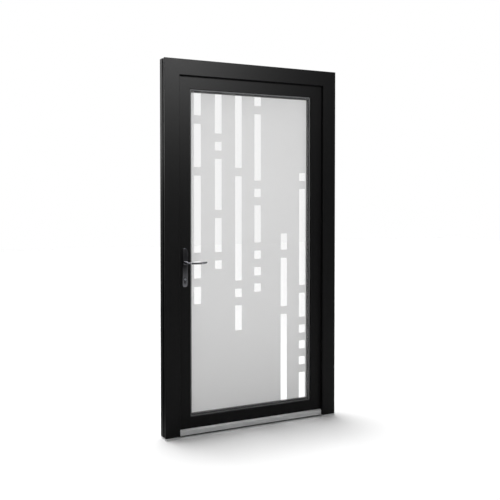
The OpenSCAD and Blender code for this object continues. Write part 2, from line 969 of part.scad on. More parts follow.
// Lever for the outside: neck, quarter bend and flat grip, with the leaf face at
// y = 0 and the grip standing out towards -Y
module lever() {
    bend_r = 13;
    root = -grip_off + bend_r;
    difference() {
        union() {
            rotate([90, 0, 0]) cylinder(r = neck_r, h = -root);
            translate([bend_r, root, 0]) intersection() {
                rotate_extrude() translate([bend_r, 0]) circle(r = grip_t / 2);
                translate([-bend_r - neck_r, -bend_r - neck_r, -neck_r])
                    cube([bend_r + neck_r, bend_r + neck_r, 2 * neck_r]);
            }
            translate([bend_r - eps, -grip_off, 0]) grip(grip_l - bend_r);
        }
        translate([-spindle_a / 2 - run_gap, -spindle_in - plate_t, -spindle_a / 2 - run_gap])
            cube([spindle_a + 2 * run_gap, spindle_in + plate_t + over, spindle_a + 2 * run_gap]);
    }
}

// Grip bar along +X with a rounded section and a round tip
module grip(l) {
    r = grip_h / 2;
    flat = grip_t - grip_h;
    intersection() {
        rotate([90, 0, 90]) linear_extrude(l) {
            translate([-flat / 2, -r]) square([flat, grip_h]);
            for (y = [-flat / 2, flat / 2]) translate([y, 0]) circle(r = r);
        }
        translate([-grip_t, -grip_t, -grip_h]) linear_extrude(2 * grip_h) {
            square([l + grip_t - r, 2 * grip_t]);
            translate([l + grip_t - r, grip_t]) circle(r = grip_t);
        }
    }
}

module outer_lever() {
    color(dark_metal) translate([lever_x, y_leaf, handle_z]) lever();
}

module inner_lever() {
    color(dark_metal) translate([lever_x, y_leaf_in, handle_z]) mirror([0, 1, 0]) lever();
}

// ---------- hinges ----------

// Frame half of a hinge: plate on the jamb and the two outer knuckles
module hinge_base(z) {
    arm_x = barrel_r + hinge_clear;
    y_plate = y_in - hinge_y;
    knuckle_mid = (hinge_h - knuckle_l) / 2;
    color(dark_metal) translate([hinge_x, hinge_y, z]) difference() {
        union() {
            translate([0, 0, -hinge_h / 2]) linear_extrude(hinge_h)
                translate([arm_x, y_plate]) square([hinge_w, hinge_t]);
            for (s = [-1, 1])
                translate([0, 0, s * knuckle_mid - knuckle_l / 2]) linear_extrude(knuckle_l) {
                    circle(r = barrel_r);
                    polygon([
                        [0, -barrel_r + hinge_clear], [arm_x, -barrel_r + hinge_clear],
                        [arm_x, y_plate], [arm_x + hinge_arm, y_plate],
                        [arm_x + hinge_arm, 0], [0, 0]
                    ]);
                }
        }
        translate([0, 0, -hinge_h]) cylinder(r = pin_r + run_gap, h = 2 * hinge_h);
    }
}

module hinge_base_lower() {
    hinge_base(hinge_zs[0]);
}

module hinge_base_middle() {
    hinge_base(hinge_zs[1]);
}

module hinge_base_upper() {
    hinge_base(hinge_zs[2]);
}

// Leaf half: plate on the leaf's inside face and the middle knuckle
module hinge_flap(z) {
    y_face = y_leaf_in - hinge_y;
    reach = barrel_r + hinge_clear;
    color(dark_metal) translate([hinge_x, hinge_y, z]) difference() {
        union() {
            translate([0, 0, -hinge_h / 2]) linear_extrude(hinge_h)
                translate([-reach - hinge_w, y_face]) square([hinge_w, hinge_t]);
            translate([0, 0, -hinge_mid_h / 2]) linear_extrude(hinge_mid_h) {
                circle(r = barrel_r);
                translate([-reach - hinge_arm, y_face]) square([reach + hinge_arm, hinge_t]);
            }
        }
        translate([0, 0, -hinge_h]) cylinder(r = pin_r + run_gap, h = 2 * hinge_h);
    }
}

module hinge_flap_lower() {
    hinge_flap(hinge_zs[0]);
}

module hinge_flap_middle() {
    hinge_flap(hinge_zs[1]);
}

module hinge_flap_upper() {
    hinge_flap(hinge_zs[2]);
}

module hinge_pins() {
    cap_t = 2;
    color(steel) for (z = hinge_zs)
        translate([hinge_x, hinge_y, z - hinge_h / 2 - cap_t]) {
            cylinder(r = pin_r, h = hinge_h + 2 * cap_t);
            cylinder(r = barrel_r - 1, h = cap_t);
            translate([0, 0, hinge_h + cap_t]) cylinder(r = barrel_r - 1, h = cap_t);
        }
}

// ---------- drip bar ----------

// Outline of the drip bar in depth and height: hollow, sloping top, drip nose
module drip_outline() {
    polygon([
        [drip_d, drip_nose], [drip_d, drip_h], [drip_d - drip_flat, drip_h],
        [0, drip_h - drip_slope], [0, 0], [wall_t, 0], [wall_t, drip_nose]
    ]);
}

module drip_hollow() {
    back = drip_d - wall_t;
    floor_z = drip_nose + wall_t;
    polygon([
        [back, floor_z], [back, drip_h - wall_t], [drip_d - drip_flat, drip_h - wall_t],
        [wall_t, drip_h - drip_slope - wall_t / 2], [wall_t, floor_z]
    ]);
}

// Runs an outline in depth and height along X from x0 to x1
module drip_run(x0, x1) {
    translate([x0, drip_y, drip_z]) rotate([90, 0, 90]) linear_extrude(x1 - x0) children();
}

module drip_bar() {
    color(silver) drip_run(-drip_x + drip_cap_l, drip_x - drip_cap_l) difference() {
        drip_outline();
        drip_hollow();
    }
}

module drip_bar_caps() {
    color(silver) for (side = [0, 1])
        mirror([side, 0, 0]) drip_run(-drip_x, -drip_x + drip_cap_l) drip_outline();
}

jamb_lock_outer();
jamb_lock_inner();
jamb_hinge_outer();
jamb_hinge_inner();
head_outer();
head_inner();
frame_insulating_bars();
frame_corner_cleats();
threshold_plate();
threshold_core();
end_shoe_lock();
end_shoe_hinge();
stop_seal();
lock_keep();
keep_screws();
hinge_base_lower();
hinge_base_middle();
hinge_base_upper();
hinge_pins();
stile_lock_outer();
stile_lock_inner();
stile_hinge_outer();
stile_hinge_inner();
rail_top_outer();
rail_top_inner();
rail_bottom_outer();
rail_bottom_inner();
leaf_insulating_bars();
leaf_corner_cleats();
flange_seal();
bottom_seal();
outer_pane();
frosted_pane();
glass_spacer();
outer_gasket();
inner_gasket();
bead_top();
bead_bottom();
bead_lock();
bead_hinge();
setting_blocks();
lock_case();
lock_faceplate();
faceplate_screws();
cylinder_body();
outer_backplate();
inner_backplate();
backplate_screws();
drip_bar();
drip_bar_caps();
hinge_flap_lower();
hinge_flap_middle();
hinge_flap_upper();
outer_lever();
inner_lever();
spindle();
lock_follower();
latch_bolt();
dead_bolt();
cylinder_core();
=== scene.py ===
# %% [markdown]
# # A glazed entrance door and its frame
# The door comes as sixty plain parts in one shared place: metres, X along the wall, Y into
# the building, Z up. Here each part gets the finish of the real one, and the few parts whose
# shape is softer or finer than the plain ones are modelled again by hand.

# %% Load the door
import math

import bpy
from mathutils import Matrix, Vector


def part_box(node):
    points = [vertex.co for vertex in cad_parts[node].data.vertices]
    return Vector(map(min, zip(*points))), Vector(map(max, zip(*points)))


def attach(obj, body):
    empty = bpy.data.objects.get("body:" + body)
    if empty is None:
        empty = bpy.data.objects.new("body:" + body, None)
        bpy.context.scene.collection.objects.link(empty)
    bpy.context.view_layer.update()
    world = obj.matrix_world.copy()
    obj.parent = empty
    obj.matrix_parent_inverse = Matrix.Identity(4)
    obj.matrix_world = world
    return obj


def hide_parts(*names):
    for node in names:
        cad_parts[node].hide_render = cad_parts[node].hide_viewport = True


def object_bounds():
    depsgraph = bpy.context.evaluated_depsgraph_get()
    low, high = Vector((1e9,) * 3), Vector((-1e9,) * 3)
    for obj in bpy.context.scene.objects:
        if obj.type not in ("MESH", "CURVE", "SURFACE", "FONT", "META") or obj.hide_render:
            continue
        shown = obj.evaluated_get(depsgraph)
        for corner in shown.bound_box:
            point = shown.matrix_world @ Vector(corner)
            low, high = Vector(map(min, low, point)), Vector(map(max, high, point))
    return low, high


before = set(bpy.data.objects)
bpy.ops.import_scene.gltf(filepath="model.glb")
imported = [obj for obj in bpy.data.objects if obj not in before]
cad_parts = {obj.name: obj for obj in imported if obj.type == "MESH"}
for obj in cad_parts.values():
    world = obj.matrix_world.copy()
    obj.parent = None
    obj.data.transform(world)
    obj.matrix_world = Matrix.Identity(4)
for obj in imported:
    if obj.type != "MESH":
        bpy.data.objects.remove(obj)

CAD_BOX = [list(corner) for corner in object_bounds()]
MM = 0.001
print("door box in metres:", CAD_BOX)

# %% [markdown]
# ## Three helpers for every finish
# Makers name paint by its screen colour, but light adds up in linear numbers, so one function
# turns a hex colour into linear. Another adds a node, sets it and wires it, and a third turns
# the size of a grain in millimetres into a noise's scale. With these a finish reads like a
# recipe: where the pattern lives, how big it is, and what it changes.

# %% Colour and node helpers
def srgb(code):
    parts = [int(code[i:i + 2], 16) / 255 for i in (1, 3, 5)]
    return [c / 12.92 if c <= 0.04045 else ((c + 0.055) / 1.055) ** 2.4 for c in parts] + [1.0]


def add_node(tree, kind, inputs=None, **settings):
    node = tree.nodes.new("ShaderNode" + kind)
    for name, value in settings.items():
        setattr(node, name, value)
    for name, value in (inputs or {}).items():
        if isinstance(value, bpy.types.NodeSocket):
            tree.links.new(value, node.inputs[name])
        else:
            node.inputs[name].default_value = value
    return node


def pattern_size(mm):
    """The noise scale whose bumps are about mm millimetres across."""
    return 1 / (mm * MM)


print("powder black in linear:", [round(c, 4) for c in srgb("#131314")])

# %% [markdown]
# ## Starting a finish and giving it to parts
# Every finish starts as one Principled shader and the Object coordinates, which are metres in
# the door's own place, so a grain of 1 mm is 1 mm on every part and runs on across a joint.

# %% Start a finish, apply a finish
finished = set()


def new_finish(name, **sockets):
    material = bpy.data.materials.new(name)
    material.use_nodes = True
    tree = material.node_tree
    tree.nodes.clear()
    values = {key.replace("_", " "): value for key, value in sockets.items()}
    shader = add_node(tree, "BsdfPrincipled", values)
    add_node(tree, "OutputMaterial", {"Surface": shader.outputs[0]})
    place = add_node(tree, "TexCoord").outputs["Object"]
    return material, tree, shader, place


def finish_parts(material, *starts):
    names = sorted(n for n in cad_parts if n.startswith(starts))
    for name in names:
        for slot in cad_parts[name].material_slots:
            slot.material = material
    finished.update(names)
    print(material.name, "on", len(names), "parts")


# %% [markdown]
# ## What nearly every finish does
# No real surface has one colour and one gloss. So one helper lets a noise mix two close tones,
# and a noise move the roughness a little up and down. The other softens the edges and lets a
# noise stand up as a fine relief. The edges are softened only in how they catch light: the
# Bevel node rounds the shading, and the shape stays as it is.

# %% Vary a finish, give it relief
# A Mix node has one set of sockets for each kind of value, and these are its colour ones.
MIX_SHARE, MIX_FIRST, MIX_SECOND, MIX_RESULT = 0, 6, 7, 2
# Most of a noise lies between these two values.
NOISE_LOW, NOISE_HIGH = 0.3, 0.7


def vary(tree, shader, colour_noise, dark, light, gloss_noise, rough, swing):
    """Mixes dark and light into the colour, and moves the roughness by swing either side of rough."""
    tone = add_node(tree, "Mix", {MIX_SHARE: colour_noise.outputs[0], MIX_FIRST: srgb(dark),
                                  MIX_SECOND: srgb(light)}, data_type="RGBA")
    gloss = add_node(tree, "MapRange", {"Value": gloss_noise.outputs[0],
                                        "From Min": NOISE_LOW, "From Max": NOISE_HIGH,
                                        "To Min": rough - swing, "To Max": rough + swing})
    tree.links.new(tone.outputs[MIX_RESULT], shader.inputs["Base Color"])
    tree.links.new(gloss.outputs[0], shader.inputs["Roughness"])


def relief(tree, shader, noise, edge_mm, strength, depth_mm):
    """Softens the edges by edge_mm and raises the noise by up to depth_mm."""
    edge = add_node(tree, "Bevel", {"Radius": edge_mm * MM}, samples=4)
    bump = add_node(tree, "Bump", {"Height": noise.outputs[0], "Normal": edge.outputs[0],
                                   "Strength": strength, "Distance": depth_mm * MM})
    tree.links.new(bump.outputs[0], shader.inputs["Normal"])


print("helpers for tone, gloss and relief are ready")

# %% [markdown]
# ## Powder coat on the profiles
# The frame and leaf are aluminium extrusions, sprayed with dry polyester powder and baked. The
# powder melts into a fine, hard orange peel: very dark, nearly matt, with a soft sheen where a
# lamp grazes it. The grain is about half a millimetre on the real door. It is drawn at 1.4 mm,
# because a finer one wouldn't show, and a slow cloud of 14 mm varies the tone a little, as
# uneven spraying does. An image of the coat could be wrapped round each bar, but a noise laid
# out in the door's own millimetres never stretches and shows no seam. Edges are softened by
# half a millimetre, so that each mitre shows as the hairline it is. The hinges have a smoother
# and slightly greyer coat of the same kind.

# %% Powder coat
PEEL_MM = 1.4
CLOUD_MM = 14


def powder_coat(name, dark, light, rough):
    coat, tree, shader, place = new_finish(name, Specular_IOR_Level=0.17)
    peel = add_node(tree, "TexNoise", {"Vector": place, "Scale": pattern_size(PEEL_MM), "Detail": 2.0})
    cloud = add_node(tree, "TexNoise", {"Vector": place, "Scale": pattern_size(CLOUD_MM), "Detail": 4.0})
    vary(tree, shader, cloud, dark, light, peel, rough, swing=0.06)
    relief(tree, shader, peel, edge_mm=0.5, strength=0.35, depth_mm=0.1)
    return coat


profile_coat = powder_coat("fine_texture_powder_coat", "#0c0c0d", "#131314", 0.46)
hinge_coat = powder_coat("smooth_black_hinge_coat", "#18181a", "#202022", 0.36)
finish_parts(profile_coat, "jamb_", "head_", "stile_", "rail_", "bead_")
finish_parts(hinge_coat, "hinge_base", "hinge_flap")

# %% [markdown]
# ## Anodised aluminium
# The threshold, the shoes under the jambs and the drip bar are anodised in their own silver
# colour: a clear, milky oxide over metal that was drawn through a die. The milk scatters light
# before it reaches the metal, so the shader is a little less than half metal. The die leaves
# faint lines along the bar, so the pattern is a noise stretched along X. The lines are about
# 0.2 mm apart in truth and drawn 1 mm apart to show. They could be cut into the mesh, but lines
# that shallow are only ever seen by how they catch light, and a bump gives that. The corner
# cleats are left as they came from the mill: the same metal, somewhat darker and smoother.

# %% Anodised and mill finish
DIE_LINES_MM = 1
MILK_MM = 25


def drawn_aluminium(name, dark, light, rough):
    metal, tree, shader, place = new_finish(name, Metallic=0.4)
    along = add_node(tree, "Mapping", {"Vector": place, "Scale": (0.01, 1.0, 1.0)})
    lines = add_node(tree, "TexNoise", {"Vector": along.outputs[0], "Scale": pattern_size(DIE_LINES_MM),
                                        "Detail": 3.0})
    milk = add_node(tree, "TexNoise", {"Vector": place, "Scale": pattern_size(MILK_MM), "Detail": 2.0})
    vary(tree, shader, milk, dark, light, lines, rough, swing=0.08)
    relief(tree, shader, lines, edge_mm=0.4, strength=0.25, depth_mm=0.05)
    return metal


silver_anodised = drawn_aluminium("natural_anodised_aluminium", "#eeefef", "#f6f7f7", 0.42)
mill_finish = drawn_aluminium("mill_finish_aluminium", "#cdcecf", "#dadbdc", 0.3)
finish_parts(silver_anodised, "threshold_plate", "end_shoe", "drip_bar")
finish_parts(mill_finish, "frame_corner_cleats", "leaf_corner_cleats")

# %% [markdown]
# ## Steel inside the lock
# The keep, the faceplate and the bolts are brushed stainless steel: long fine scratches along
# their height, so the noise is stretched along Z. The screws, spindle, pins, lock case and the
# cylinder's core are zinc plated, a smoother and slightly bluish white metal with a faint
# cloudiness, which is the same noise only a little stretched. Scratches are about a tenth of a
# millimetre wide in truth and drawn at 0.6 mm. They could be drawn one by one, but a stretched
# noise already has their uneven lengths.

# %% Steel finishes
SCRATCH_MM = 0.6


def steel(name, dark, light, rough, along_z):
    metal, tree, shader, place = new_finish(name, Metallic=1.0)
    along = add_node(tree, "Mapping", {"Vector": place, "Scale": (1.0, 1.0, along_z)})
    scratch = add_node(tree, "TexNoise", {"Vector": along.outputs[0], "Scale": pattern_size(SCRATCH_MM),
                                          "Detail": 3.0})
    edge = add_node(tree, "Bevel", {"Radius": 0.3 * MM}, samples=4)
    tree.links.new(edge.outputs[0], shader.inputs["Normal"])
    vary(tree, shader, scratch, dark, light, scratch, rough, swing=0.07)
    return metal


brushed_stainless = steel("brushed_stainless_steel", "#b4b4b2", "#c9c9c6", 0.32, along_z=0.04)
zinc_plate = steel("bright_zinc_plate", "#b0b4ba", "#c6cad0", 0.26, along_z=0.6)
finish_parts(brushed_stainless, "lock_keep", "lock_faceplate", "latch_bolt", "dead_bolt")
finish_parts(zinc_plate, "keep_screws", "faceplate_screws", "backplate_screws", "hinge_pins", "spindle",
             "lock_follower", "lock_case", "cylinder_core")

# %% [markdown]
# ## Rubber and plastic
# Seals are extruded EPDM rubber, dull black with a bloom that lightens it a little in patches.
# The gasket against the outer pane is a mid-grey one. The insulating bars are glass-filled
# polyamide, the darkest and dullest of all. The threshold core and the setting blocks are
# moulded black plastic, a little smoother, and the bar between the panes is dark grey plastic.
# One function makes them all, because only the tones, the roughness, the shine and the size of
# the patches differ.

# %% Rubber and plastic finishes
def moulded(name, dark, light, rough, bloom_mm, shine=0.35):
    stuff, tree, shader, place = new_finish(name, Specular_IOR_Level=shine)
    bloom = add_node(tree, "TexNoise", {"Vector": place, "Scale": pattern_size(bloom_mm), "Detail": 4.0})
    vary(tree, shader, bloom, dark, light, bloom, rough, swing=0.08)
    return stuff


rubber = moulded("black_epdm_rubber", "#0c0c0c", "#161616", 0.7, bloom_mm=5)
grey_gasket = moulded("grey_glazing_gasket", "#7e7f80", "#8c8d8e", 0.6, bloom_mm=5)
polyamide = moulded("glass_filled_polyamide", "#070707", "#0d0d0d", 0.8, bloom_mm=3, shine=0.08)
black_plastic = moulded("moulded_black_plastic", "#0a0a0b", "#121213", 0.6, bloom_mm=8, shine=0.15)
warm_edge = moulded("dark_warm_edge_spacer", "#262728", "#323334", 0.5, bloom_mm=4)
finish_parts(rubber, "stop_seal", "flange_seal", "bottom_seal", "inner_gasket")
finish_parts(grey_gasket, "outer_gasket")
finish_parts(polyamide, "frame_insulating_bars", "leaf_insulating_bars")
finish_parts(black_plastic, "threshold_core", "setting_blocks")
finish_parts(warm_edge, "glass_spacer")

# %% [markdown]
# ## Handle metal
# Levers, plates and cylinder are die-cast metal with a dark, polished vapour-deposited coat. It
# mirrors like metal but gives back only a fifth of the light, so bright lamps show as crisp
# lights on dark grey. Black paint under a clear coat could look much the same from the front,
# but it would lose its reflections' depth at the sides. A very slow waviness of 30 mm breaks up
# the reflections, as on any face that was cast and then polished.

# %% Handle finish
WAVE_MM = 30
handle_metal, tree, shader, place = new_finish("dark_polished_cast_metal", Metallic=1.0)
wave = add_node(tree, "TexNoise", {"Vector": place, "Scale": pattern_size(WAVE_MM), "Detail": 1.0})
vary(tree, shader, wave, "#7a7a7e", "#848488", wave, rough=0.125, swing=0.025)
relief(tree, shader, wave, edge_mm=0.5, strength=0.06, depth_mm=0.3)
finish_parts(handle_metal, "outer_lever", "inner_lever", "outer_backplate", "inner_backplate",
             "cylinder_body")

# %% [markdown]
# ## Clear glass
# Float glass is nearly free of colour. What the eye looks through is real refracting glass, but
# lamps would need a very long time to find their way through it. So for light that comes from
# lamps, or from matt surfaces, the same pane simply lets it pass.

# %% Clear float glass
clear_glass, tree, shader, _ = new_finish(
    "clear_float_glass", Base_Color=srgb("#fcfcfc"), Roughness=0.0, IOR=1.52, Transmission_Weight=1.0)
ray = add_node(tree, "LightPath")
passing = add_node(tree, "Math", {0: ray.outputs["Is Shadow Ray"], 1: ray.outputs["Is Diffuse Ray"]},
                   operation="MAXIMUM")
open_way = add_node(tree, "BsdfTransparent", {"Color": srgb("#fafafa")})
pane_mix = add_node(tree, "MixShader", {0: passing.outputs[0], 1: shader.outputs[0], 2: open_way.outputs[0]})
tree.links.new(pane_mix.outputs[0], tree.nodes["Material Output"].inputs["Surface"])
finish_parts(clear_glass, "outer_pane", "frosted_pane")

# %% [markdown]
# ## Etched glass
# The inner pane is sandblasted on the face that looks outwards. The blasted face scatters light
# both ways: a part comes back as a soft grey and most goes through, so the pane glows from
# behind. The grit leaves a sparkle of well under a millimetre, drawn here at 1.5 mm and faint.
# Rough refracting glass could do this too, but it stays noisy for a long time. A matt face mixed
# with a translucent one shows the same glow at once.

# %% Etched face
THROUGH_SHARE = 0.72
GRIT_MM = 1.5
etched, tree, shader, place = new_finish("sandblasted_glass", Roughness=0.75, Specular_IOR_Level=0.2)
grit = add_node(tree, "TexNoise", {"Vector": place, "Scale": pattern_size(GRIT_MM), "Detail": 2.0})
white = add_node(tree, "Mix", {MIX_SHARE: grit.outputs[0], MIX_FIRST: srgb("#dedede"),
                               MIX_SECOND: srgb("#e6e6e6")}, data_type="RGBA")
tree.links.new(white.outputs[MIX_RESULT], shader.inputs["Base Color"])
through = add_node(tree, "BsdfTranslucent", {"Color": white.outputs[MIX_RESULT]})
etched_mix = add_node(tree, "MixShader", {0: THROUGH_SHARE, 1: shader.outputs[0], 2: through.outputs[0]})
tree.links.new(etched_mix.outputs[0], tree.nodes["Material Output"].inputs["Surface"])
print("etched glass lets", THROUGH_SHARE, "of the light through")

# %% [markdown]
# ## Working by hand
# The next pieces are modelled as one would at the screen: add a primitive, go into edit mode,
# select, shape, and apply modifiers. An operator works on everything selected, so each piece
# starts by deselecting all, and its place is written into its mesh as soon as it is added.

# %% Modelling helpers
def start_clean():
    if bpy.context.object and bpy.context.object.mode != "OBJECT":
        bpy.ops.object.mode_set(mode="OBJECT")
    bpy.ops.object.select_all(action="DESELECT")


def pick(piece):
    """Selects this piece and nothing else, and makes it the one that is worked on."""
    start_clean()
    piece.select_set(True)
    bpy.context.view_layer.objects.active = piece


def settle(piece, name):
    """Writes the object's place, turn and size into its mesh and names it."""
    piece.name = piece.data.name = name
    bpy.ops.object.transform_apply(location=True, rotation=True, scale=True)
    return piece


def block(name, low, high):
    start_clean()
    low, high = Vector(low), Vector(high)
    bpy.ops.mesh.primitive_cube_add(size=1, location=(low + high) / 2, scale=high - low)
    return settle(bpy.context.object, name)


def cut_away(piece, cutter):
    """Cuts the cutter's shape out of the piece and throws the cutter away."""
    pick(piece)
    hole = piece.modifiers.new("hole", "BOOLEAN")
    hole.operation = "DIFFERENCE"
    hole.solver = "EXACT"
    hole.object = cutter
    bpy.ops.object.modifier_apply(modifier="hole")
    bpy.data.objects.remove(cutter)


def select_edges(piece, wanted):
    """Selects the edges whose two ends satisfy wanted(a, b), and goes into edit mode."""
    bpy.ops.object.mode_set(mode="EDIT")
    bpy.ops.mesh.select_all(action="DESELECT")
    bpy.ops.mesh.select_mode(type="EDGE")
    bpy.ops.object.mode_set(mode="OBJECT")
    points = [v.co for v in piece.data.vertices]
    for e in piece.data.edges:
        e.select = wanted(points[e.vertices[0]], points[e.vertices[1]])
    bpy.ops.object.mode_set(mode="EDIT")


def round_rim(piece, face_y, radius, segments):
    """Rounds the edges that lie flat in the face at face_y, and stays in edit mode."""
    near = 0.01 * MM
    select_edges(piece, lambda a, b: abs(a.y - face_y) < near and abs(b.y - face_y) < near)
    bpy.ops.mesh.bevel(offset=radius, segments=segments, affect="EDGES")


print("ready to model")

# %% [markdown]
# ## The inner pane with clear dashes
# When the pane is blasted, a stencil keeps six columns of dashes clear. They follow a grid: each
# dash starts and ends on a whole or half step of 48.5 mm. The pane starts as a block and is cut
# through along every dash edge. Then each small field of the outward face is either blasted or
# clear. A mask in the finish could do the same, but fields in the mesh stay sharp at any
# distance, and the dashes go wherever the mesh goes.

# %% Dash pattern
GRID_STEP = 48.5 * MM
GRID_MIDDLE = 977 * MM
DASH_WIDTH = 42.5 * MM
# steps that lie beyond the pane's top and foot, for dashes that run out under the frame
PAST_TOP = 21
PAST_FOOT = -19
# column centre in mm, then each dash as (top, foot) in steps above the middle
DASHES = {
    -334: [(PAST_TOP, 17), (16, 11), (10, 1), (0, -2), (-3, -5)],
    -205: [(PAST_TOP, 15), (14, 13), (12, 6), (5, 1), (0, -1)],
    -77: [(PAST_TOP, 11), (10, -2.5), (-3.5, -4.5), (-5.5, -8.5)],
    48: [(PAST_TOP, 18.5), (17.5, 9.5), (8.5, 7.5), (6.5, 2), (1, 0), (-1, -2), (-3, -4)],
    225: [(3, 1), (0, -6), (-7, PAST_FOOT)],
    351.5: [(10.5, 9.5), (8.5, -3.5), (-4.5, -7.5), (-8.5, -9.5), (-10.5, -11.5), (-12.5, -13.5),
            (-14.5, PAST_FOOT)],
}
print("dashes:", sum(len(column) for column in DASHES.values()))

# %% Cut the pane along the dashes
pane_low, pane_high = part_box("frosted_pane")
pane = block("etched_inner_pane", pane_low, pane_high)
cuts_x = sorted({centre * MM + side * DASH_WIDTH / 2 for centre in DASHES for side in (-1, 1)})
steps = {step for column in DASHES.values() for dash in column for step in dash}
cuts_z = [z for z in sorted(GRID_MIDDLE + step * GRID_STEP for step in steps) if pane_low.z < z < pane_high.z]
bpy.ops.object.mode_set(mode="EDIT")
for x in cuts_x:
    bpy.ops.mesh.select_all(action="SELECT")
    bpy.ops.mesh.bisect(plane_co=(x, 0, 0), plane_no=(1, 0, 0))
for z in cuts_z:
    bpy.ops.mesh.select_all(action="SELECT")
    bpy.ops.mesh.bisect(plane_co=(0, 0, z), plane_no=(0, 0, 1))
bpy.ops.object.mode_set(mode="OBJECT")
print("pane fields:", len(pane.data.polygons))


# %% Blast all but the dashes
def in_dash(x, z):
    for centre, column in DASHES.items():
        if abs(x - centre * MM) < DASH_WIDTH / 2:
            step = (z - GRID_MIDDLE) / GRID_STEP
            return any(foot < step < top for top, foot in column)
    return False


pane.data.materials.append(etched)
pane.data.materials.append(clear_glass)
BLASTED, CLEAR = 0, 1
for face in pane.data.polygons:
    looks_out = face.normal.y < -0.9
    blasted = looks_out and not in_dash(face.center.x, face.center.z)
    face.material_index = BLASTED if blasted else CLEAR
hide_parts("frosted_pane")
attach(pane, "leaf")
print("blasted fields:", sum(face.material_index == BLASTED for face in pane.data.polygons))

# %% [markdown]
# ## Spacer between the panes
# A warm-edge bar keeps the panes apart. Most of it hides behind the leaf's lip, and only a slim
# dark line shows. The plain part shows too much of it, so the ring is modelled again with slimmer
# bars: a block with its middle cut away. Four separate bars would do, but they would show four
# joints, and the real bar is bent round its corners. It is hollow too, but never seen inside.

# %% Slim spacer ring
BAR_WIDTH = 24 * MM
LEVEL_BAR_EXTRA = 3 * MM
CUT_PAST = 20 * MM
ring_low, ring_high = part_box("glass_spacer")
ring = block("slim_glass_spacer", ring_low, ring_high)
inset = Vector((BAR_WIDTH, -CUT_PAST, BAR_WIDTH + LEVEL_BAR_EXTRA))
cut_away(ring, block("cutter", ring_low + inset, ring_high - inset))
ring.data.materials.append(warm_edge)
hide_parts("glass_spacer")
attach(ring, "leaf")
print("spacer outside:", [round(v / MM, 1) for v in ring_high], "bar", BAR_WIDTH / MM, "mm")

# %% [markdown]
# ## Handle plates
# Each plate is a cast strip with round ends, its rim softly rounded and its face slightly
# crowned, which is why the light runs along it from dark to grey. A block gets the four edges
# through its thickness bevelled to half its width, its front rim bevelled small, and a few
# cross cuts so that the face can be crowned. An outline curve given some thickness is the other
# way, but its face would be flat. Boolean cutters then open the holes for the neck and the
# cylinder.

# %% Plate blank
CROWN = 2.2 * MM
PLATE_RIM = 3.6 * MM
CROSS_STRIPS = 12
OUTWARDS, INWARDS = -1, 1


def plate_blank(name, node, facing):
    low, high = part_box(node)
    face_y, back_y = (low.y, high.y) if facing == OUTWARDS else (high.y, low.y)
    plate = block(name, low, high)
    select_edges(plate, lambda a, b: abs(a.y - b.y) > 1 * MM)
    # a hair less than half the width, so that the two arcs of an end never cross
    nearly_half = (high.x - low.x) / 2 - 0.05 * MM
    bpy.ops.mesh.bevel(offset=nearly_half, segments=14, affect="EDGES")
    round_rim(plate, face_y, PLATE_RIM, 5)
    for strip in range(1, CROSS_STRIPS):
        bpy.ops.mesh.select_all(action="SELECT")
        z = low.z + (high.z - low.z) * strip / CROSS_STRIPS
        bpy.ops.mesh.bisect(plane_co=(0, 0, z), plane_no=(0, 0, 1))
    bpy.ops.object.mode_set(mode="OBJECT")
    middle, half = (low.z + high.z) / 2, (high.z - low.z) / 2
    for v in plate.data.vertices:
        if abs(v.co.y - back_y) > 1 * MM:
            v.co.y -= facing * CROWN * ((v.co.z - middle) / half) ** 2
    return plate


outer_plate = plate_blank("outer_handle_plate", "outer_backplate", OUTWARDS)
inner_plate = plate_blank("inner_handle_plate", "inner_backplate", INWARDS)
print("plate blanks:", len(outer_plate.data.polygons), "faces each")

# %% [markdown]
# The lever's axis is the spindle's. The cylinder's outline is a round barrel above and a narrower
# tail below, so each plate's hole is cut by two round cutters and a slot between their middles.

# %% Open the plates
spindle_low, spindle_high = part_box("spindle")
AXIS_X = (spindle_low.x + spindle_high.x) / 2
AXIS_Z = (spindle_low.z + spindle_high.z) / 2
cylinder_low, cylinder_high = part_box("cylinder_body")
BARREL_Z = cylinder_high.z - 8.5 * MM
TAIL_Z = cylinder_low.z + 5 * MM
BARREL_HOLE_R = 9 * MM
TAIL_HOLE_R = 5.5 * MM
PLATE_HOLE_R = 8.6 * MM
COLLAR_HOLE_R = 8.7 * MM
CUTTER_LENGTH = 30 * MM


def round_cutter(radius, z, piece):
    start_clean()
    low, high = [Vector(corner) for corner in (piece.bound_box[0], piece.bound_box[6])]
    bpy.ops.mesh.primitive_cylinder_add(vertices=48, radius=radius, depth=CUTTER_LENGTH,
                                        location=(AXIS_X, (low.y + high.y) / 2, z),
                                        rotation=(math.pi / 2, 0, 0))
    return settle(bpy.context.object, "cutter")


for plate in (outer_plate, inner_plate):
    cut_away(plate, round_cutter(PLATE_HOLE_R, AXIS_Z, plate))
    cut_away(plate, round_cutter(BARREL_HOLE_R, BARREL_Z, plate))
    cut_away(plate, round_cutter(TAIL_HOLE_R, TAIL_Z, plate))
    past = 5 * MM
    slot_low = (AXIS_X - TAIL_HOLE_R, plate.bound_box[0][1] - past, TAIL_Z)
    slot_high = (AXIS_X + TAIL_HOLE_R, plate.bound_box[6][1] + past, BARREL_Z)
    cut_away(plate, block("cutter", slot_low, slot_high))
    print(plate.name, "cut:", len(plate.data.polygons), "faces")

# %% Finish the plates
for plate, node in ((outer_plate, "outer_backplate"), (inner_plate, "inner_backplate")):
    pick(plate)
    bpy.ops.object.shade_smooth_by_angle(angle=math.radians(32))
    plate.data.materials.append(handle_metal)
    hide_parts(node)
    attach(plate, "leaf")
print("plates done")

# %% [markdown]
# ## Levers
# A lever is one casting: a round neck that turns in the plate, a quarter bend, and a slim oval
# grip that dips a little and then rises to an upturned tip. A curve with a round section could
# follow the same route, but it would stay round. So the lever is drawn out of one disc: each
# move extrudes the end face, then shifts, turns or scales it, as one draws out clay.

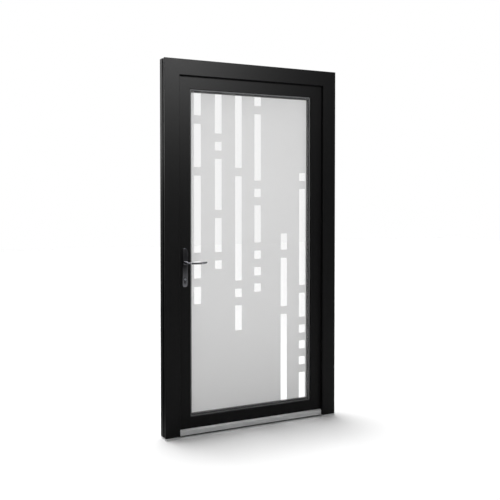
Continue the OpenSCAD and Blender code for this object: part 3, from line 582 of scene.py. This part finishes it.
# %% Draw out the neck
NECK_R = 8.5 * MM
BEND_R = 13 * MM
GRIP_INSIDE_BOX = 7 * MM
# the neck slims from round to oval over its last two moves, each this long in mm
TAPER = 7
lever_low, lever_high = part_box("outer_lever")
NECK_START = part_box("outer_backplate")[1].y
GRIP_Y = lever_low.y + GRIP_INSIDE_BOX


def push(end, move, wide=1.0, high=1.0):
    """Extrudes the end face by move (mm), then sizes it about its new middle."""
    end = end + Vector(move) * MM
    bpy.ops.mesh.extrude_region_move(TRANSFORM_OT_translate={"value": Vector(move) * MM})
    bpy.ops.transform.resize(value=(wide, wide, high), center_override=end)
    return end


start_clean()
end = Vector((AXIS_X, NECK_START, AXIS_Z))
bpy.ops.mesh.primitive_circle_add(vertices=32, radius=NECK_R, fill_type="NGON",
                                  location=end, rotation=(math.pi / 2, 0, 0))
outer_grip = settle(bpy.context.object, "outer_lever_handle")
bpy.ops.object.mode_set(mode="EDIT")
bpy.ops.mesh.select_mode(type="FACE")
bpy.ops.mesh.select_all(action="SELECT")
neck_length = (NECK_START - GRIP_Y - BEND_R) / MM
end = push(end, (0, 2 * TAPER - neck_length, 0))
end = push(end, (0, -TAPER, 0), 0.93, 0.84)
end = push(end, (0, -TAPER, 0), 0.885, 0.735)
print("neck length in mm:", round(neck_length, 1))

# %% Bend it round
TURNS = 9
pivot = end + Vector((BEND_R, 0, 0))
for _ in range(TURNS):
    bpy.ops.mesh.extrude_region_move(TRANSFORM_OT_translate={"value": (0, 0, 0)})
    bpy.ops.transform.rotate(value=math.radians(-90 / TURNS), orient_axis="Z", center_override=pivot)
end = pivot + Vector((0, -BEND_R, 0))
print("grip starts", round((end.x - AXIS_X) / MM, 1), "mm beside the axis")

# %% Draw out the grip and its tip
# each move: how far out and how far up in mm, then the size across and upwards against the last
GRIP_STEPS = (
    (14, -1.8, 1.00, 1.10), (20, -1.2, 1.00, 1.00), (20, 0.0, 1.00, 1.00), (20, 0.9, 1.00, 0.99),
    (14, 1.2, 0.99, 0.98), (6, 1.1, 0.98, 0.96), (3.4, 1.0, 0.93, 0.90), (1.6, 0.6, 0.80, 0.78),
    (1.0, 0.2, 0.55, 0.50),
)
for out, rise, wide, high in GRIP_STEPS:
    end = push(end, (out, 0, rise), wide, high)
bpy.ops.object.mode_set(mode="OBJECT")
bpy.ops.object.shade_smooth_by_angle(angle=math.radians(40))
outer_grip.data.materials.append(handle_metal)
print("tip to axis in mm:", round((end.x - AXIS_X) / MM, 1))
print("room for the tip in mm:", round((lever_high.x - AXIS_X) / MM, 1))

# %% [markdown]
# The inner lever is the same casting turned to the room side: a mirrored copy. A mirrored mesh
# is inside out, so its normals are recalculated after its doubles are merged.

# %% Mirror the inner lever
def repair(piece):
    bpy.context.view_layer.objects.active = piece
    bpy.ops.object.mode_set(mode="EDIT")
    bpy.ops.mesh.select_all(action="SELECT")
    bpy.ops.mesh.remove_doubles(threshold=0.001 * MM)
    bpy.ops.mesh.normals_make_consistent(inside=False)
    bpy.ops.object.mode_set(mode="OBJECT")


middle_y = (lever_low.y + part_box("inner_lever")[1].y) / 2
pick(outer_grip)
bpy.ops.object.duplicate()
inner_grip = bpy.context.object
bpy.ops.transform.resize(value=(1, -1, 1), center_override=(0, middle_y, 0))
settle(inner_grip, "inner_lever_handle")
repair(inner_grip)
for grip, node in ((outer_grip, "outer_lever"), (inner_grip, "inner_lever")):
    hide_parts(node)
    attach(grip, "handle")
    print(grip.name, "has", len(grip.data.polygons), "faces")

# %% [markdown]
# ## Neck collars
# A collar on each plate guides the neck and hides the hole round it. It is a low ring with a
# rounded lip. It could be spun from its outline, but a short cylinder gets there in fewer steps:
# the rim is bevelled and the neck's hole cut out.

# %% Two collars
COLLAR_R = 11.4 * MM
COLLAR_DEPTH = 4 * MM
COLLAR_STANDS = 2.6 * MM
COLLAR_LIP = 1 * MM
outer_face_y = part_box("outer_backplate")[0].y
inner_face_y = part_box("inner_backplate")[1].y
for name, face_y, facing in (("outer_neck_collar", outer_face_y, OUTWARDS),
                             ("inner_neck_collar", inner_face_y, INWARDS)):
    start_clean()
    collar_y = face_y + facing * (COLLAR_STANDS - COLLAR_DEPTH / 2)
    bpy.ops.mesh.primitive_cylinder_add(vertices=48, radius=COLLAR_R, depth=COLLAR_DEPTH,
                                        location=(AXIS_X, collar_y, AXIS_Z),
                                        rotation=(math.pi / 2, 0, 0))
    collar = settle(bpy.context.object, name)
    round_rim(collar, face_y + facing * COLLAR_STANDS, COLLAR_LIP, 3)
    bpy.ops.object.mode_set(mode="OBJECT")
    cut_away(collar, round_cutter(COLLAR_HOLE_R, AXIS_Z, collar))
    bpy.ops.object.shade_smooth_by_angle(angle=math.radians(40))
    collar.data.materials.append(handle_metal)
    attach(collar, "leaf")
    print(name, len(collar.data.polygons), "faces")

# %% [markdown]
# ## Hinge screws
# Each hinge plate is held by four screws with a cross recess, and only their heads show. One
# head is modelled: a low disc with a rounded rim and a cross cut into it. A dark cross in the
# finish would be cheaper, but a cut one has shaded sides from wherever it is seen. The others
# are copies of it, each turned a little further, because screws never stop at the same angle.

# %% One screw head
HEAD_R = 4.4 * MM
HEAD_DEPTH = 1.6 * MM
HEAD_RIM = 0.5 * MM
CROSS_REACH = 2.4 * MM
CROSS_HALF = 0.55 * MM
CROSS_FLOOR = 0.1 * MM


def screw_head():
    start_clean()
    bpy.ops.mesh.primitive_cylinder_add(vertices=28, radius=HEAD_R, depth=HEAD_DEPTH,
                                        rotation=(math.pi / 2, 0, 0))
    head = settle(bpy.context.object, "screw_head")
    round_rim(head, HEAD_DEPTH / 2, HEAD_RIM, 3)
    bpy.ops.object.mode_set(mode="OBJECT")
    for half_x, half_z in ((CROSS_REACH, CROSS_HALF), (CROSS_HALF, CROSS_REACH)):
        cut_away(head, block("cutter", (-half_x, CROSS_FLOOR, -half_z), (half_x, HEAD_DEPTH, half_z)))
    bpy.ops.object.shade_smooth_by_angle(angle=math.radians(35))
    head.data.materials.append(zinc_plate)
    return head


head = screw_head()
print("screw head:", len(head.data.polygons), "faces")

# %% [markdown]
# A hinge plate's box also holds its knuckles, so the plate's middle is measured from the edge
# that is away from them. The four screws stand in a zigzag, as on a real hinge.

# %% Copy the heads onto the hinges
HINGE_PLATE_W = 42 * MM
HINGE_PLATE_T = 6 * MM
HEAD_SUNK = 0.2 * MM
FIRST_TURN = 20
NEXT_TURN = 37
# across and up from the middle of the plate, in mm
SCREW_SPOTS = ((-8, -38), (8, -16), (-8, 16), (8, 38))
ON_FRAME, ON_LEAF = 1, -1


def screws_on(name, nodes, body, side, face_y):
    copies = []
    for node in nodes:
        low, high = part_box(node)
        plate_x = high.x - HINGE_PLATE_W / 2 if side == ON_FRAME else low.x + HINGE_PLATE_W / 2
        plate_z = (low.z + high.z) / 2
        for across, up in SCREW_SPOTS:
            copy = head.copy()
            copy.data = head.data.copy()
            bpy.context.collection.objects.link(copy)
            copy.location = (plate_x + side * across * MM, face_y - HEAD_SUNK, plate_z + up * MM)
            copy.rotation_euler = (0, math.radians(FIRST_TURN + NEXT_TURN * len(copies)), 0)
            copies.append(copy)
    start_clean()
    for copy in copies:
        copy.select_set(True)
    bpy.context.view_layer.objects.active = copies[0]
    bpy.ops.object.join()
    screws = settle(bpy.context.object, name)
    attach(screws, body)
    print(name, "has", len(copies), "heads")


frame_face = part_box("jamb_hinge_inner")[1].y + HINGE_PLATE_T
leaf_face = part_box("stile_hinge_inner")[1].y + HINGE_PLATE_T
heights = ("lower", "middle", "upper")
screws_on("hinge_screws_frame", ["hinge_base_" + h for h in heights], "frame", ON_FRAME, frame_face)
screws_on("hinge_screws_leaf", ["hinge_flap_" + h for h in heights], "leaf", ON_LEAF, leaf_face)
bpy.data.objects.remove(head)

# %% [markdown]
# ## Floor
# The door stands on a seamless white studio floor, one wide flat sheet. Two things about it are
# meant for other eyes than the camera's, and both are painted shade. Mirrored in the door it is
# painted half dark, and the painted shade deepens some metres in front and just behind the door.
# For soft bounced light a strip behind the door is painted dark, standing in for the shadow the
# door casts there, so the foot of the etched pane glows less than its top. Looked at directly,
# the floor is plain white. A real dark cloth could lie there instead, but it would show through
# the clear dashes and round the open leaf.

# %% Painted shade on the floor, for reflections and for bounced light
FADE_FROM, FADE_TO = -3.0, -9.0
BEHIND_FROM, BEHIND_TO = 0.0, 0.6
# where the painted shade for bounced light lies behind the door, in metres
DOOR_SHADOW_FROM, DOOR_SHADOW_TO = 0.05, 1.0
floor_white, tree, shader, place = new_finish("white_studio_floor", Base_Color=srgb("#f8f8f8"),
                                              Roughness=0.9, Specular_IOR_Level=0.1)
depth = add_node(tree, "SeparateXYZ", {0: place}).outputs["Y"]
ray = add_node(tree, "LightPath")
# painted shade: as mirrored in the door the floor is painted half dark, darker still far in front and behind
# the door
in_front = add_node(tree, "MapRange", {"Value": depth, "From Min": FADE_FROM, "From Max": FADE_TO,
                                       "To Min": 0.5, "To Max": 1.0})
behind = add_node(tree, "MapRange", {"Value": depth, "From Min": BEHIND_FROM, "From Max": BEHIND_TO,
                                     "To Min": 0.5, "To Max": 0.97})
faded = add_node(tree, "Math", {0: in_front.outputs[0], 1: behind.outputs[0]}, operation="MAXIMUM")
# light that has passed through glass counts as glossy too, so both tests are needed
mirror = add_node(tree, "Math", {0: ray.outputs["Is Glossy Ray"], 1: ray.outputs["Is Reflection Ray"]},
                  operation="MULTIPLY")
mirrored = add_node(tree, "Math", {0: faded.outputs[0], 1: mirror.outputs[0]}, operation="MULTIPLY")
# painted shade: for bounced light a strip behind the door is painted dark, standing in for the door's shadow
# on the floor
past_pane = add_node(tree, "Math", {0: depth, 1: DOOR_SHADOW_FROM}, operation="GREATER_THAN")
before_end = add_node(tree, "Math", {0: depth, 1: DOOR_SHADOW_TO}, operation="LESS_THAN")
strip = add_node(tree, "Math", {0: past_pane.outputs[0], 1: before_end.outputs[0]}, operation="MULTIPLY")
painted_door_shadow = add_node(tree, "Math", {0: strip.outputs[0], 1: ray.outputs["Is Diffuse Ray"]}, operation="MULTIPLY")
print("floor fades between", -FADE_FROM, "and", -FADE_TO, "m in front of the door")

# %% Floor sheet
FLOOR_SIZE = 30
# the dark matt sheet mixed in here is the floor's painted shade, for reflections and for bounced light
painted_shade_share = add_node(tree, "Math", {0: mirrored.outputs[0], 1: painted_door_shadow.outputs[0]}, operation="MAXIMUM")
painted_floor_shade = add_node(tree, "BsdfDiffuse", {"Color": srgb("#202020")})
floor_mix = add_node(tree, "MixShader", {0: painted_shade_share.outputs[0], 1: shader.outputs[0],
                                         2: painted_floor_shade.outputs[0]})
tree.links.new(floor_mix.outputs[0], tree.nodes["Material Output"].inputs["Surface"])
start_clean()
floor_z = CAD_BOX[0][2]
bpy.ops.mesh.primitive_plane_add(size=FLOOR_SIZE, location=(0, 0, floor_z))
floor = settle(bpy.context.object, "studio_floor")
floor.data.materials.append(floor_white)
print("floor at", floor_z)

# %% [markdown]
# ## Backdrop
# The backdrop is pure white for the camera, and for what is seen through the glass. As a light it
# is bright only behind the door, and dim in front and below. So the dark front stays dark, its
# sides catch a pale edge, and the etched pane glows.

# %% Backdrop
DIM = 0.1
REAR_SOFT, REAR_MIRRORED = 0.45, 0.55
world = bpy.data.worlds.new("white_backdrop")
bpy.context.scene.world = world
world.use_nodes = True
sky = world.node_tree
sky.nodes.clear()
seen = add_node(sky, "LightPath")
direct = add_node(sky, "Math", {0: seen.outputs["Is Camera Ray"], 1: seen.outputs["Is Transmission Ray"]},
                  operation="MAXIMUM")
toward = add_node(sky, "SeparateXYZ", {0: add_node(sky, "TexCoord").outputs["Generated"]})
rear = add_node(sky, "MapRange", {"Value": seen.outputs["Is Glossy Ray"],
                                  "To Min": REAR_SOFT, "To Max": REAR_MIRRORED})
around = add_node(sky, "MapRange", {"Value": toward.outputs["Y"], "From Min": -0.35, "From Max": 0.45,
                                    "To Min": DIM, "To Max": rear.outputs[0]})
above = add_node(sky, "MapRange", {"Value": toward.outputs["Z"], "From Min": -0.12, "From Max": 0.02,
                                   "To Min": DIM, "To Max": 1.0})
glow = add_node(sky, "Math", {0: around.outputs[0], 1: above.outputs[0]}, operation="MULTIPLY")
as_light = add_node(sky, "Background", {"Color": srgb("#ffffff"), "Strength": glow.outputs[0]})
as_seen = add_node(sky, "Background", {"Color": srgb("#ffffff"), "Strength": 1.0})
both = add_node(sky, "MixShader", {0: direct.outputs[0], 1: as_light.outputs[0], 2: as_seen.outputs[0]})
add_node(sky, "OutputWorld", {"Surface": both.outputs[0]})
print("backdrop nodes:", len(sky.nodes))


# %% [markdown]
# ## Studio light
# Three lamps do the rest. A wide soft light from overhead, tilted a little towards the back,
# whitens the floor and leaves a short soft shadow in front. It is a sun lamp, so the floor is
# equally bright everywhere, and its wide angle makes the shadow's edge soft. A large soft box
# behind the door lights the etched pane and the room side. A small lamp high at the front lights
# nothing matt: it is there to be mirrored by the top corner of the coat and by the handle.

# %% Lamps
def soft_box(name, power, size, place, target):
    data = bpy.data.lights.new(name, "AREA")
    data.energy = power
    data.shape = "RECTANGLE"
    data.size, data.size_y = size
    lamp = bpy.data.objects.new(name, data)
    bpy.context.collection.objects.link(lamp)
    lamp.location = place
    lamp.rotation_euler = (Vector(target) - Vector(place)).to_track_quat("-Z", "Y").to_euler()
    lamp.visible_camera = False
    lamp.visible_transmission = False
    return lamp


corner_lamp = soft_box("corner_lamp", power=57, size=(0.6, 0.6), place=(0.27, -2.3, 2.75),
                       target=(-0.55, 0, 2.2))
corner_lamp.visible_diffuse = False
rear_box = soft_box("rear_box", power=16, size=(2.4, 1.6), place=(-0.3, 1.9, 2.3), target=(0, 0, 1.3))
overhead_data = bpy.data.lights.new("overhead_light", "SUN")
overhead_data.energy = 2.75
overhead_data.angle = math.radians(20)
overhead = bpy.data.objects.new("overhead_light", overhead_data)
bpy.context.collection.objects.link(overhead)
TOWARDS_OVERHEAD = Vector((-0.02, 0.11, 1))
overhead.rotation_euler = TOWARDS_OVERHEAD.to_track_quat("Z", "Y").to_euler()
print("lamps:", overhead_data.energy, corner_lamp.data.energy, rear_box.data.energy)

# %% [markdown]
# ## Camera
# The camera stands to the left, at a little under two thirds of the door's height, and looks to
# the right, so the left jamb shows its side. It is nearly level, and a small shift does the rest
# of the aiming, which keeps the uprights upright, as a product photographer does.

# %% Camera
CAMERA_PLACE = (-1.9238, -3.8258, 1.3417)
PITCH_DOWN = 1.41
TURN_RIGHT = 26.54
camera_data = bpy.data.cameras.new("product_camera")
camera_data.lens = 52.89
camera_data.sensor_width = 36
camera_data.shift_y = -0.07
camera = bpy.data.objects.new("product_camera", camera_data)
bpy.context.collection.objects.link(camera)
camera.location = CAMERA_PLACE
camera.rotation_euler = (math.radians(90 - PITCH_DOWN), 0, math.radians(-TURN_RIGHT))
bpy.context.scene.camera = camera
bpy.context.scene.view_settings.view_transform = "Standard"
print("camera", camera_data.lens, "mm")

# %% [markdown]
# ## Parts left without a finish
# The last cell lists every part that has no finish.

# %% Parts without a finish
left_plain = sorted(set(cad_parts) - finished)
print("parts without a finish:", left_plain)
